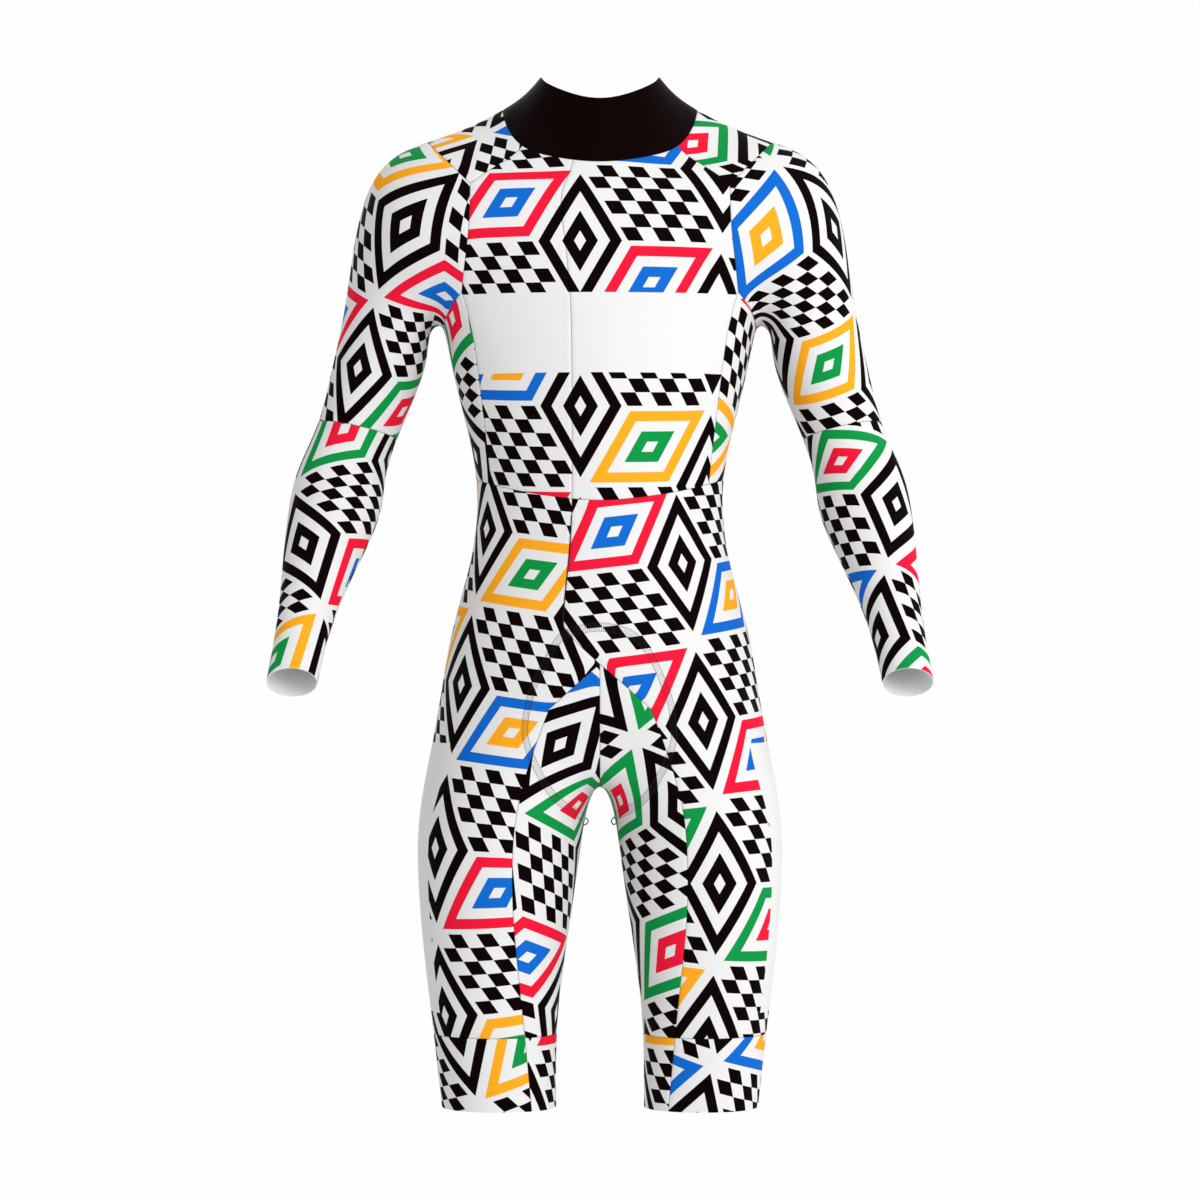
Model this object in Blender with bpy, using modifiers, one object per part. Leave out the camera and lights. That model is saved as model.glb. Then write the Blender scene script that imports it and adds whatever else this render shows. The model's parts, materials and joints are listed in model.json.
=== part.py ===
"""Long-sleeved racing speed suit, held in its worn shape.

A coarse cage of quads is worked out from the section tables below, mirrored and subdivided once
into one smooth skin. The skin is then cut along the seams, and each piece gets its own wall.
Metres, +Z up. The origin is the middle of the neck base, and the chest faces -Y. The wearer's
left is +X.
"""

import math
from collections import namedtuple

import bmesh
import bpy
from mathutils import Vector

# Cloth and seams
WALL = 0.0016
SEAM_GAP = 0.0003
ZIP_TAPE_HALF_WIDTH = 0.009
ZIP_TAPE_THICK = 0.0012
ZIP_END_Z = -0.525
PAD_THICK = 0.0045
INNER_CLEARANCE = 0.0004
SHARP_ANGLE = 40.0
NARROWEST_CORNER = 0.35  # least 1 + cosine between a corner's two pulls, so that no corner runs off

# Cage columns on one half of the body, from centre front (0) over the side (5) to centre back (10)
COLUMNS = 10
SEAM_COLUMN = 1
SIDE_FRONT_COLUMN = 3
SIDE_COLUMN = 5
SIDE_BACK_COLUMN = 7
BACK_SEAM_COLUMN = 9
BODY_SQUARENESS = 2.3
LEG_SQUARENESS = 2.1
LEG_POINTS = 14
SLEEVE_POINTS = 12
SHOULDER_RIDGE_Y = 0.002
NECK_BOW = 0.07
MERGE = 0.00005
CUT_PRECISION = 1e-6

# The neck and shoulders: a row for each ring round the neck, at centre front, the front corner
# of the shoulder seam, the shoulder ridge, the back corner and centre back.
NeckRow = namedtuple(
    "NeckRow",
    "front_y front_z corner_x corner_y corner_z ridge_x ridge_z"
    " back_corner_x back_corner_y back_corner_z back_y back_z",
)
NECK_ROWS = (
    NeckRow(-0.057, 0.014, 0.051, -0.036, 0.030, 0.063, 0.046, 0.052, 0.040, 0.034, 0.064, 0.022),
    NeckRow(-0.072, -0.018, 0.066, -0.048, -0.005, 0.0775, 0.029, 0.068, 0.046, 0.016, 0.074, 0.008),
    NeckRow(-0.095, -0.060, 0.081, -0.070, -0.045, 0.099, 0.016, 0.085, 0.056, 0.003, 0.086, -0.012),
    NeckRow(-0.106, -0.079, 0.104, -0.083, -0.058, 0.143, -0.005, 0.116, 0.070, -0.025, 0.098, -0.040),
)

# The armhole, from the shoulder top down to the armpit: its front edge and its back edge
ArmholeRow = namedtuple("ArmholeRow", "front_x front_y front_z back_x back_y back_z")
ARMHOLE_ROWS = (
    ArmholeRow(0.190, 0.004, -0.018, 0.190, 0.004, -0.018),
    ArmholeRow(0.168, -0.052, -0.035, 0.171, 0.056, -0.034),
    ArmholeRow(0.124, -0.098, -0.075, 0.146, 0.088, -0.066),
    ArmholeRow(0.129, -0.113, -0.124, 0.144, 0.108, -0.128),
    ArmholeRow(0.149, -0.085, -0.184, 0.153, 0.089, -0.188),
    ArmholeRow(0.159, -0.044, -0.208, 0.160, 0.046, -0.209),
    ArmholeRow(0.165, 0.001, -0.216, 0.165, 0.001, -0.216),
)

# The chest and upper back beside the armhole, at centre front and centre back
ChestRow = namedtuple("ChestRow", "front_y front_z back_y back_z seam_x")
CHEST_ROWS = (
    ChestRow(-0.113, -0.094, 0.108, -0.082, 0.044),
    ChestRow(-0.124, -0.146, 0.118, -0.140, 0.031),
    ChestRow(-0.127, -0.200, 0.117, -0.200, 0.021),
)

# The trunk below the arms: height at the side, front and back, half width, front and back of the
# section, the two front seams, and how deep the centre front falls in
TrunkRow = namedtuple(
    "TrunkRow",
    "side_z front_z back_z half_width front_y back_y seam_x side_seam_x back_seam_x cleft",
)
TRUNK_ROWS = (
    TrunkRow(-0.250, -0.254, -0.250, 0.160, -0.125, 0.112, 0.019, 0.131, 0.055, 0.000),
    TrunkRow(-0.312, -0.324, -0.308, 0.143, -0.119, 0.100, 0.019, 0.126, 0.050, 0.000),
    TrunkRow(-0.380, -0.411, -0.376, 0.124, -0.113, 0.090, 0.020, 0.116, 0.045, 0.000),
    TrunkRow(-0.452, -0.463, -0.448, 0.130, -0.111, 0.098, 0.024, 0.114, 0.048, 0.000),
    TrunkRow(-0.508, -0.540, -0.508, 0.149, -0.110, 0.119, 0.040, 0.122, 0.045, 0.000),
    TrunkRow(-0.562, -0.567, -0.560, 0.163, -0.109, 0.136, 0.050, 0.132, 0.045, 0.002),
    TrunkRow(-0.625, -0.624, -0.620, 0.171, -0.105, 0.142, 0.056, 0.138, 0.056, 0.009),
    TrunkRow(-0.694, -0.676, -0.668, 0.186, -0.098, 0.132, 0.084, 0.150, 0.084, 0.034),
)

# The crotch curve between centre front and centre back of the lowest trunk row
CrotchPoint = namedtuple("CrotchPoint", "y z")
CROTCH_CURVE = (
    CrotchPoint(-0.030, -0.689),
    CrotchPoint(0.014, -0.692),
    CrotchPoint(0.062, -0.686),
)

# The legs, from the crotch to the hem: seam_turn is the inner seam's angle from the outer side
LegRow = namedtuple("LegRow", "outer_z inner_z outer_x inner_x front_y back_y seam_turn")
LEG_ROWS = (
    LegRow(-0.732, -0.720, 0.1915, 0.0130, -0.097, 0.122, 99.0),
    LegRow(-0.772, -0.764, 0.1935, 0.0185, -0.094, 0.103, 99.5),
    LegRow(-0.828, -0.826, 0.1905, 0.0275, -0.090, 0.086, 102.5),
    LegRow(-0.893, -0.893, 0.1845, 0.0390, -0.085, 0.073, 113.0),
    LegRow(-0.9555, -0.9555, 0.1765, 0.0470, -0.079, 0.063, 124.0),
    LegRow(-1.0365, -1.0365, 0.1680, 0.0465, -0.071, 0.056, 130.0),
)

# The sleeve, from the shoulder to the cuff: the outer and inner edge of each section as seen
# from the front, the middle and half depth of the section, and its forward lean
SleeveRow = namedtuple("SleeveRow", "outer_x outer_z inner_x inner_z middle_y half_depth lean")
SLEEVE_ROWS = (
    SleeveRow(0.2260, -0.039, 0.1760, -0.222, 0.001, 0.096, 0.0),
    SleeveRow(0.2500, -0.081, 0.1790, -0.231, 0.003, 0.079, 0.0),
    SleeveRow(0.2625, -0.146, 0.1800, -0.244, 0.007, 0.067, 0.0),
    SleeveRow(0.2700, -0.213, 0.1830, -0.264, 0.012, 0.060, 0.0),
    SleeveRow(0.2860, -0.269, 0.1950, -0.295, 0.017, 0.054, 0.0),
    SleeveRow(0.2935, -0.318, 0.2150, -0.338, 0.021, 0.050, 4.0),
    SleeveRow(0.3230, -0.372, 0.2280, -0.378, 0.017, 0.050, 15.0),
    SleeveRow(0.3270, -0.408, 0.2245, -0.409, -0.003, 0.047, 26.0),
    SleeveRow(0.3310, -0.455, 0.2445, -0.455, -0.040, 0.040, 35.0),
    SleeveRow(0.3300, -0.522, 0.2765, -0.522, -0.090, 0.0285, 37.0),
    SleeveRow(0.3402, -0.590, 0.2870, -0.590, -0.139, 0.0255, 37.0),
)
ELBOW_SEAM_ROW = 6

# Rows of the trunk grid, counted from the collar's rim
COLLAR_SEAM_ROW = 2
ARMHOLE_TOP_ROW = 4
ARMHOLE_MIDDLE_ROW = 5
ARMHOLE_FOOT_ROW = 6
WAIST_ROW = 9
FORK_ROW = 12
LEG_BAND_ROW = 5

# Cage faces that a seam crosses from corner to corner: the fly seam and the top of the inner legs,
# in front and behind. A face's corners run down its own column and up the next one. The first half
# has three corners from start on, and the seam lies between its first and its last.
SlantedSeam = namedtuple("SlantedSeam", "start sections")
SLANTED_SEAMS = {
    (FORK_ROW - 1, 0): SlantedSeam(3, ("leg_middle", "leg")),
    (FORK_ROW, 0): SlantedSeam(0, ("inner_leg", "leg")),
    (FORK_ROW, COLUMNS - 1): SlantedSeam(1, ("inner_leg", "leg")),
}

# Half outline of the seat pad as seen from the front, from its top to its lowest lobe
PadPoint = namedtuple("PadPoint", "x z")
PAD_OUTLINE = (
    PadPoint(0.000, -0.535),
    PadPoint(0.030, -0.538),
    PadPoint(0.056, -0.568),
    PadPoint(0.070, -0.605),
    PadPoint(0.076, -0.645),
    PadPoint(0.066, -0.688),
    PadPoint(0.034, -0.722),
    PadPoint(0.000, -0.737),
)

# Sections of the cage, each kept as the material slot of its faces
SECTIONS = (
    "collar",
    "yoke",
    "front_middle",
    "front",
    "side",
    "back",
    "leg_middle",
    "leg",
    "inner_leg",
    "band_outer",
    "band_inner",
    "sleeve_upper",
    "sleeve_lower",
)
UNDIVIDED = ("collar", "back")
LEFT_ONLY = {"front_middle": "front_left", "leg_middle": "leg_left"}

# Colour, roughness and metallic value of each cloth
Finish = namedtuple("Finish", "colour roughness metallic")
FINISHES = {
    "collar": Finish((0.012, 0.011, 0.012), 0.45, 0.0),
    "zip_tape": Finish((0.020, 0.020, 0.022), 0.60, 0.0),
    "seat_pad": Finish((0.120, 0.120, 0.130), 0.85, 0.0),
    "print": Finish((0.780, 0.780, 0.770), 0.62, 0.0),
    "band": Finish((0.720, 0.720, 0.720), 0.70, 0.0),
}


def clear_scene():
    for obj in list(bpy.data.objects):
        bpy.data.objects.remove(obj, do_unlink=True)


def swell(points):
    """How far a ring of cage points stands out, so that the subdivided ring has the stated size."""
    return 1.0 / (0.75 + 0.25 * math.cos(2.0 * math.pi / points))


def mix(start, end, share):
    return start + (end - start) * share


def power(value, exponent):
    return math.copysign(abs(value) ** exponent, value)


def turn_at(x, half_width):
    """The angle from centre front at which a section reaches x."""
    return math.asin(min(1.0, (x / half_width) ** (BODY_SQUARENESS / 2.0)))


def neck_ring(row):
    """The eleven points of one half ring round the neck."""
    front = Vector((0.0, row.front_y, row.front_z))
    corner = Vector((row.corner_x, row.corner_y, row.corner_z))
    ridge = Vector((row.ridge_x, SHOULDER_RIDGE_Y, row.ridge_z))
    back_corner = Vector((row.back_corner_x, row.back_corner_y, row.back_corner_z))
    back = Vector((0.0, row.back_y, row.back_z))
    ring = [curved(front, corner, share / 3.0) for share in range(3)]
    ring += [bowed(corner, ridge, share / 2.0) for share in range(2)]
    ring += [ridge]
    ring += [bowed(ridge, back_corner, 0.5)]
    ring += [curved(back, back_corner, share / 3.0) for share in (3, 2, 1, 0)]
    return ring


def curved(centre, edge, share):
    """A point on a rounded front or back: level at the centre, falling away to the edge."""
    turn = share * 0.5 * math.pi
    x = mix(centre.x, edge.x, share)
    depth = 1.0 - math.cos(turn) if share < 1.0 else 1.0
    return Vector((x, mix(centre.y, edge.y, depth), mix(centre.z, edge.z, depth)))


def bowed(start, end, share):
    """A point between two ring points, pushed a little out from the neck."""
    point = start.lerp(end, share)
    point.x *= 1.0 + NECK_BOW * math.sin(math.pi * share)
    return point


def armhole_points():
    """The armhole's twelve points, from the shoulder top down the front and up the back."""
    front = [Vector((row.front_x, row.front_y, row.front_z)) for row in ARMHOLE_ROWS]
    back = [Vector((row.back_x, row.back_y, row.back_z)) for row in ARMHOLE_ROWS]
    return front + back[-2:0:-1]


def chest_row(row, front_edge, back_edge):
    """Half ring of a chest row: front points, then None over the armhole, then back points."""
    front = Vector((0.0, row.front_y, row.front_z))
    back = Vector((0.0, row.back_y, row.back_z))
    points = [front]
    for share in (row.seam_x / front_edge.x, 0.5 * (1.0 + row.seam_x / front_edge.x)):
        points.append(chest_point(front, front_edge, share))
    points.append(front_edge)
    points += [None] * (SIDE_BACK_COLUMN - SIDE_FRONT_COLUMN - 1)
    points.append(back_edge)
    points += [chest_point(back, back_edge, share) for share in (2.0 / 3.0, 1.0 / 3.0)]
    points.append(back)
    return points


def chest_point(centre, edge, share):
    depth = share**BODY_SQUARENESS
    return Vector((edge.x * share, mix(centre.y, edge.y, depth), mix(centre.z, edge.z, share**2)))


def trunk_row(row):
    """Half ring of a closed trunk section."""
    seam = turn_at(row.seam_x, row.half_width)
    side = turn_at(row.side_seam_x, row.half_width)
    back_seam = turn_at(row.back_seam_x, row.half_width)
    quarter = 0.5 * math.pi
    turns = [0.0, seam, mix(seam, side, 0.5), side, mix(side, quarter, 0.5), quarter]
    behind = [mix(side, quarter, 0.5), side, mix(back_seam, side, 0.5), back_seam, 0.0]
    turns += [math.pi - turn for turn in behind]
    out = swell(2 * COLUMNS)
    middle = 0.5 * (row.front_y + row.back_y)
    half_depth = 0.5 * (row.back_y - row.front_y) * out
    points = []
    for turn in turns:
        x = row.half_width * out * power(math.sin(turn), 2.0 / BODY_SQUARENESS)
        y = middle - half_depth * power(math.cos(turn), 2.0 / BODY_SQUARENESS)
        end_z = row.front_z if turn < quarter else row.back_z
        z = mix(row.side_z, end_z, math.cos(turn) ** 2)
        points.append(Vector((max(x, 0.0), y, z)))
    points[0].x = 0.0
    points[-1].x = 0.0
    points[0].y += row.cleft
    return points


def leg_row(row):
    """A whole leg ring: trunk columns 0 to 10, then the three columns of the inner side."""
    seam = math.radians(row.seam_turn)
    outer_step = seam / (SIDE_COLUMN - SEAM_COLUMN)
    inner_step = (math.pi - seam) / 3.0
    turns = []
    for column in range(LEG_POINTS):
        steps = SIDE_COLUMN - column
        if column > COLUMNS + 1:
            steps += LEG_POINTS
        size = abs(steps)
        beyond = max(0, size - (SIDE_COLUMN - SEAM_COLUMN))
        turn = (size - beyond) * outer_step + beyond * inner_step
        turns.append(math.copysign(turn, steps))
    out = swell(LEG_POINTS)
    centre = 0.5 * (row.outer_x + row.inner_x)
    half_width = 0.5 * (row.outer_x - row.inner_x) * out
    middle = 0.5 * (row.front_y + row.back_y)
    half_depth = 0.5 * (row.back_y - row.front_y) * out
    points = []
    for turn in turns:
        x = centre + half_width * power(math.cos(turn), 2.0 / LEG_SQUARENESS)
        y = middle - half_depth * power(math.sin(turn), 2.0 / LEG_SQUARENESS)
        z = mix(row.inner_z, row.outer_z, 0.5 + 0.5 * math.cos(turn))
        points.append(Vector((x, y, z)))
    return points


def sleeve_row(row):
    """A whole sleeve ring, from its outer point round the front."""
    out = swell(SLEEVE_POINTS)
    outer = Vector((row.outer_x, row.middle_y, row.outer_z))
    inner = Vector((row.inner_x, row.middle_y, row.inner_z))
    centre = 0.5 * (outer + inner)
    across = 0.5 * (outer - inner) * out
    lean = math.radians(row.lean)
    forward = Vector((0.0, -math.cos(lean), math.sin(lean))) * row.half_depth * out
    points = []
    for step in range(SLEEVE_POINTS):
        turn = 2.0 * math.pi * step / SLEEVE_POINTS
        points.append(centre + across * math.cos(turn) + forward * math.sin(turn))
    return points


def trunk_grid():
    """Every half ring of the trunk, from the collar's rim to the crotch."""
    hole = armhole_points()
    grid = [neck_ring(row) for row in NECK_ROWS]
    for place, row in enumerate(CHEST_ROWS):
        front_edge = hole[2 + place]
        back_edge = hole[SLEEVE_POINTS - 2 - place]
        grid.append(chest_row(row, front_edge, back_edge))
    for column, (above, below) in enumerate(((1, 5), (0, 6), (-1, 7)), SIDE_FRONT_COLUMN + 1):
        grid[ARMHOLE_TOP_ROW][column] = hole[above]
        grid[ARMHOLE_FOOT_ROW][column] = hole[below]
    grid += [trunk_row(row) for row in TRUNK_ROWS]
    return grid


def trunk_section(row, column):
    """The section that the cage face below this row and beyond this column belongs to."""
    if row < COLLAR_SEAM_ROW:
        return "collar"
    over_side = SIDE_FRONT_COLUMN <= column < SIDE_BACK_COLUMN
    if row < WAIST_ROW:
        if over_side:
            return "yoke" if row < ARMHOLE_TOP_ROW else "side"
        if column >= SIDE_BACK_COLUMN:
            return "back"
        return "front_middle" if column < SEAM_COLUMN else "front"
    if row < FORK_ROW:
        return "leg_middle" if column < SEAM_COLUMN else "leg"
    inner = column < SEAM_COLUMN or column >= BACK_SEAM_COLUMN
    return "inner_leg" if inner else "leg"


def leg_section(row, column):
    inner = column < SEAM_COLUMN or column >= BACK_SEAM_COLUMN
    if row < LEG_BAND_ROW:
        return "inner_leg" if inner else "leg"
    return "band_inner" if inner else "band_outer"


class Cage:
    """The half body's quads. Each point is one vertex, and each face knows its section."""

    def __init__(self):
        self.mesh = bmesh.new()

    def points(self, places):
        return [None if place is None else self.mesh.verts.new(place) for place in places]

    def face(self, corners, section):
        face = self.mesh.faces.new(corners)
        face.material_index = SECTIONS.index(section)
        face.smooth = True

    def strip(self, upper, lower, sections):
        """Quads between two closed rings, with the section of each quad."""
        for column in range(len(upper)):
            following = (column + 1) % len(upper)
            corners = [upper[column], lower[column], lower[following], upper[following]]
            self.face(corners, sections[column])


def build_cage():
    cage = Cage()
    grid = [cage.points(places) for places in trunk_grid()]
    for row in range(len(grid) - 1):
        for column in range(COLUMNS):
            corners = (
                grid[row][column],
                grid[row + 1][column],
                grid[row + 1][column + 1],
                grid[row][column + 1],
            )
            in_armhole = ARMHOLE_TOP_ROW <= row < ARMHOLE_FOOT_ROW
            if in_armhole and SIDE_FRONT_COLUMN <= column < SIDE_BACK_COLUMN:
                continue
            if (row, column) in SLANTED_SEAMS:
                seam = SLANTED_SEAMS[(row, column)]
                for start, section in zip((seam.start, seam.start + 2), seam.sections):
                    cage.face([corners[(start + step) % 4] for step in range(3)], section)
            else:
                cage.face(corners, trunk_section(row, column))

    top = grid[ARMHOLE_TOP_ROW]
    foot = grid[ARMHOLE_FOOT_ROW]
    middle = grid[ARMHOLE_MIDDLE_ROW]
    ring = [top[5], top[4], top[3], middle[3], foot[3], foot[4]]
    ring += [foot[5], foot[6], foot[7], middle[7], top[7], top[6]]
    for place, row in enumerate(SLEEVE_ROWS):
        below = cage.points(sleeve_row(row))
        section = "sleeve_upper" if place < ELBOW_SEAM_ROW else "sleeve_lower"
        cage.strip(below, ring, [section] * SLEEVE_POINTS)
        ring = below

    crotch = cage.points(Vector((0.0, point.y, point.z)) for point in CROTCH_CURVE)
    ring = grid[-1] + crotch[::-1]
    for place, row in enumerate(LEG_ROWS):
        below = cage.points(leg_row(row))
        sections = [leg_section(place, column) for column in range(LEG_POINTS)]
        cage.strip(ring, below, sections)
        ring = below
    return cage.mesh


def smooth_skin():
    """The whole garment as one open surface, with the section of each face as its material."""
    cage = build_cage()
    mesh = bpy.data.meshes.new("skin")
    cage.to_mesh(mesh)
    cage.free()
    guide = bpy.data.objects.new("skin_guide", mesh)
    for section in SECTIONS:
        mesh.materials.append(bpy.data.materials.new("section_" + section))
    bpy.context.scene.collection.objects.link(guide)
    mirror = guide.modifiers.new("halves", "MIRROR")
    mirror.merge_threshold = MERGE
    smooth = guide.modifiers.new("rounding", "SUBSURF")
    smooth.levels = 1
    smooth.render_levels = 1
    bpy.context.view_layer.update()
    graph = bpy.context.evaluated_depsgraph_get()
    finished = bpy.data.meshes.new_from_object(guide.evaluated_get(graph))
    skin = bmesh.new()
    skin.from_mesh(finished)
    bmesh.ops.recalc_face_normals(skin, faces=skin.faces)
    skin.normal_update()
    bpy.data.objects.remove(guide, do_unlink=True)
    bpy.data.meshes.remove(finished)
    bpy.data.meshes.remove(mesh)
    return skin


def piece_of(face):
    """The name of the piece that a face of the skin is cut with."""
    section = SECTIONS[face.material_index]
    if section in UNDIVIDED:
        return section
    if section in LEFT_ONLY:
        return LEFT_ONLY[section]
    return section + ("_left" if face.calc_center_median().x > 0.0 else "_right")


def inward(face, edge):
    """The direction in a face's plane that leads from one of its edges into it."""
    along = (edge.verts[1].co - edge.verts[0].co).normalized()
    into = face.normal.cross(along)
    middle = 0.5 * (edge.verts[0].co + edge.verts[1].co)
    if into.dot(face.calc_center_median() - middle) < 0.0:
        into.negate()
    return into.normalized()


def seam_shift(vertex, faces):
    """How a corner on a piece's edge moves, so that each of its edges moves by half a gap."""
    pulls = []
    for face in vertex.link_faces:
        if face not in faces:
            continue
        for edge in face.edges:
            others = sum(1 for neighbour in edge.link_faces if neighbour in faces)
            if vertex in edge.verts and others == 1:
                pulls.append(inward(face, edge))
    if len(pulls) != 2:
        return Vector((0.0, 0.0, 0.0))
    spread = max(NARROWEST_CORNER, 1.0 + pulls[0].dot(pulls[1]))
    return (pulls[0] + pulls[1]) * (0.5 * SEAM_GAP / spread)


def wall_mesh(name, faces, depth=0.0, thick=WALL, trim=True):
    """A closed wall on some faces of a surface, whose outside lies depth below that surface."""
    chosen = set(faces)
    corners = []
    seen = set()
    for face in faces:
        for vertex in face.verts:
            if vertex not in seen:
                seen.add(vertex)
                corners.append(vertex)
    wall = bmesh.new()
    outer = {}
    inner = {}
    for vertex in corners:
        place = vertex.co + (seam_shift(vertex, chosen) if trim else Vector())
        outer[vertex] = wall.verts.new(place - vertex.normal * depth)
        inner[vertex] = wall.verts.new(place - vertex.normal * (depth + thick))
    for face in faces:
        wall.faces.new([outer[vertex] for vertex in face.verts])
        wall.faces.new([inner[vertex] for vertex in reversed(face.verts)])
        for loop in face.loops:
            beside = sum(1 for neighbour in loop.edge.link_faces if neighbour in chosen)
            if beside == 1:
                start = loop.vert
                end = loop.link_loop_next.vert
                wall.faces.new([outer[end], outer[start], inner[start], inner[end]])
    return mesh_from(name, wall)


def mesh_from(name, source):
    mesh = bpy.data.meshes.new(name)
    bmesh.ops.recalc_face_normals(source, faces=source.faces)
    source.to_mesh(mesh)
    source.free()
    mesh.shade_smooth()
    mesh.set_sharp_from_angle(angle=math.radians(SHARP_ANGLE))
    return mesh


def panels(skin):
    """The sewn panels, each a wall on its own faces of the skin."""
    groups = {}
    for face in skin.faces:
        groups.setdefault(piece_of(face), []).append(face)
    return [wall_mesh(name, groups[name]) for name in sorted(groups)]


def zip_line(skin):
    """The skin's points along the front opening, from the collar down, and those beside them."""
    pairs = ({"front_left", "front_right"}, {"leg_left", "leg_right"})
    line = set()
    for edge in skin.edges:
        names = {piece_of(face) for face in edge.link_faces}
        middle = 0.5 * (edge.verts[0].co + edge.verts[1].co)
        if names in pairs and middle.y < 0.0 and middle.z > ZIP_END_Z:
            line.update(edge.verts)
    ordered = sorted(line, key=lambda vertex: -vertex.co.z)
    rows = []
    for vertex in ordered:
        beside = [edge.other_vert(vertex) for edge in vertex.link_edges]
        beside = [other for other in beside if other not in line]
        left = max(beside, key=lambda other: other.co.x)
        right = min(beside, key=lambda other: other.co.x)
        rows.append((vertex, left, right))
    return rows


def zip_tape(skin):
    """The concealed zip: a tape inside the opening that follows the facets on both its sides."""
    tape = bmesh.new()
    rings = []
    for vertex, left, right in zip_line(skin):
        places = []
        for other in (left, None, right):
            place = vertex.co.copy()
            normal = vertex.normal.copy()
            if other is not None:
                reach = other.co - vertex.co
                share = ZIP_TAPE_HALF_WIDTH / reach.length
                place += reach * share
                normal = vertex.normal.lerp(other.normal, share).normalized()
            places.append((place, normal))
        top = WALL + INNER_CLEARANCE
        ring = [place - normal * top for place, normal in places]
        ring += [place - normal * (top + ZIP_TAPE_THICK) for place, normal in reversed(places)]
        rings.append([tape.verts.new(place) for place in ring])
    for upper, lower in zip(rings, rings[1:]):
        for step in range(len(upper)):
            following = (step + 1) % len(upper)
            tape.faces.new([upper[step], lower[step], lower[following], upper[following]])
    for ring in (rings[0], rings[-1]):
        tape.faces.new([ring[0], ring[1], ring[4], ring[5]])
        tape.faces.new([ring[1], ring[2], ring[3], ring[4]])
    return mesh_from("zip_tape", tape)


def seat_pad(skin):
    """The pad inside the crotch: the skin within the pad's outline, moved in and thickened."""
    patch = skin.copy()
    outline = list(PAD_OUTLINE)
    outline += [PadPoint(-point.x, point.z) for point in reversed(PAD_OUTLINE[1:-1])]
    for start, end in zip(outline, outline[1:] + outline[:1]):
        out = Vector((-(end.z - start.z), 0.0, end.x - start.x)).normalized()
        everything = list(patch.verts) + list(patch.edges) + list(patch.faces)
        bmesh.ops.bisect_plane(
            patch,
            geom=everything,
            dist=CUT_PRECISION,
            plane_co=Vector((start.x, 0.0, start.z)),
            plane_no=out,
            clear_outer=True,
        )
    bmesh.ops.triangulate(patch, faces=[face for face in patch.faces if len(face.verts) > 4])
    patch.normal_update()
    depth = WALL + INNER_CLEARANCE
    mesh = wall_mesh("seat_pad", list(patch.faces), depth, PAD_THICK, trim=False)
    patch.free()
    return mesh


def finish_for(name):
    for key in ("collar", "zip_tape", "seat_pad", "band"):
        if name.startswith(key):
            return FINISHES[key]
    return FINISHES["print"]


def cloth_material(name):
    finish = finish_for(name)
    material = bpy.data.materials.new("cloth_" + name)
    material.use_nodes = True
    shader = material.node_tree.nodes["Principled BSDF"]
    shader.inputs["Base Color"].default_value = (*finish.colour, 1.0)
    shader.inputs["Roughness"].default_value = finish.roughness
    shader.inputs["Metallic"].default_value = finish.metallic
    return material


def main():
    clear_scene()
    suit = bpy.data.collections.new("speed_suit")
    bpy.context.scene.collection.children.link(suit)
    skin = smooth_skin()
    zip_mesh = zip_tape(skin)
    bmesh.ops.triangulate(skin, faces=skin.faces, quad_method="SHORT_EDGE")
    skin.normal_update()
    for mesh in panels(skin) + [zip_mesh, seat_pad(skin)]:
        mesh.materials.append(cloth_material(mesh.name))
        suit.objects.link(bpy.data.objects.new(mesh.name, mesh))
    skin.free()


main()
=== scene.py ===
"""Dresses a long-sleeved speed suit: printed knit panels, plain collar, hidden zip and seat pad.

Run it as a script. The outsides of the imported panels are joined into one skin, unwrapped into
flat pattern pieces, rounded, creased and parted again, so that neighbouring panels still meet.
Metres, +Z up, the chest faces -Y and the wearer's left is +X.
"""

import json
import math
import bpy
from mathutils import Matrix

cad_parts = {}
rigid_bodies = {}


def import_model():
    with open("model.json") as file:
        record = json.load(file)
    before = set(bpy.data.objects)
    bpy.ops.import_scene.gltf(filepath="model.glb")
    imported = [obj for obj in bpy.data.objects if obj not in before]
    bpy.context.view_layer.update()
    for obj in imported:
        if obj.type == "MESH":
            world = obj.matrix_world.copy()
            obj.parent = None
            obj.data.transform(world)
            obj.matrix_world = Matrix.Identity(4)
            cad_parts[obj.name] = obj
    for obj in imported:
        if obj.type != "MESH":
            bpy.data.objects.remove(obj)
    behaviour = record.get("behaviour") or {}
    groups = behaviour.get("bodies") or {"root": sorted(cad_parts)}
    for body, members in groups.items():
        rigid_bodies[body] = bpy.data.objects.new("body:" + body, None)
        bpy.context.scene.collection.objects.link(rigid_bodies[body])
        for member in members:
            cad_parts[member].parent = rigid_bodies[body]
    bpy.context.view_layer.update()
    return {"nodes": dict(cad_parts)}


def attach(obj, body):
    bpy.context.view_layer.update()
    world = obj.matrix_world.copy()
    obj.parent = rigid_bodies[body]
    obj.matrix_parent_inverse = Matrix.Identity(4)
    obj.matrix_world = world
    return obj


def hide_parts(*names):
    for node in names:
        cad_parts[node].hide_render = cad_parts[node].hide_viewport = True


bl_info = {
    "name": "Speed suit",
    "version": (1, 0, 0),
    "blender": (4, 5, 0),
    "location": "3D View > Sidebar > Speed suit",
    "description": "Printed knit panels, collar, hidden zip, seat pad and a plain studio",
    "category": "Object",
}

from collections import namedtuple
from contextlib import contextmanager
from functools import partialmethod

import bmesh
import bpy
import numpy as np
from mathutils import Vector
from mathutils.bvhtree import BVHTree
from mathutils.kdtree import KDTree

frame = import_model()

BODY = "root"
PRINT_MAP = "print"
SEAM_LAYER = "seam_distance"

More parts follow.
